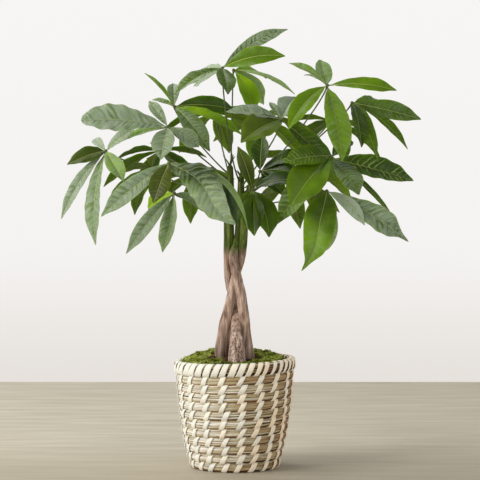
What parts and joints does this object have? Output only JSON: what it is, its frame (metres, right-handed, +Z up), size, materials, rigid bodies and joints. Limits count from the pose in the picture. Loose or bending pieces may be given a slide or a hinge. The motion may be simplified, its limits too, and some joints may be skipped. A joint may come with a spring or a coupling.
{
  "type": "potted money tree",
  "caption": "Potted money tree: braided woody trunks with hand-shaped leaves on long stalks, in a moss-topped coiled rush basket.",
  "frame": {"origin": "centre of the basket's underside, on the surface that it stands on", "axes": "+Z up, -Y towards the front of the plant, +X to the right seen from the front"},
  "size_m": [0.486, 0.3722, 0.6017],
  "materials": {
    "rush": "dry coiled rush with pale flat stitches",
    "pot_plastic": "matte black moulded plastic",
    "soil": "damp crumbly potting soil",
    "moss": "soft clumpy moss",
    "bark": "grey-brown bark, green towards the top",
    "leaf": "leathery green leaf with a soft sheen"
  },
  "bodies": {
    "root": {"basket": "rush", "grow_pot": "pot_plastic", "soil": "soil", "moss": "moss", "trunk_left": "bark", "trunk_right": "bark", "trunk_centre": "bark", "leaf_01": "leaf", "leaf_02": "leaf", "leaf_03": "leaf", "leaf_04": "leaf", "leaf_05": "leaf", "leaf_06": "leaf", "leaf_07": "leaf", "leaf_08": "leaf", "leaf_09": "leaf", "leaf_10": "leaf", "leaf_11": "leaf", "leaf_12": "leaf", "leaf_13": "leaf", "leaf_14": "leaf", "leaf_15": "leaf", "leaf_16": "leaf", "leaf_17": "leaf", "leaf_18": "leaf", "leaf_19": "leaf", "leaf_20": "leaf", "leaf_21": "leaf", "leaf_22": "leaf", "leaf_23": "leaf"}
  },
  "joints": []
}
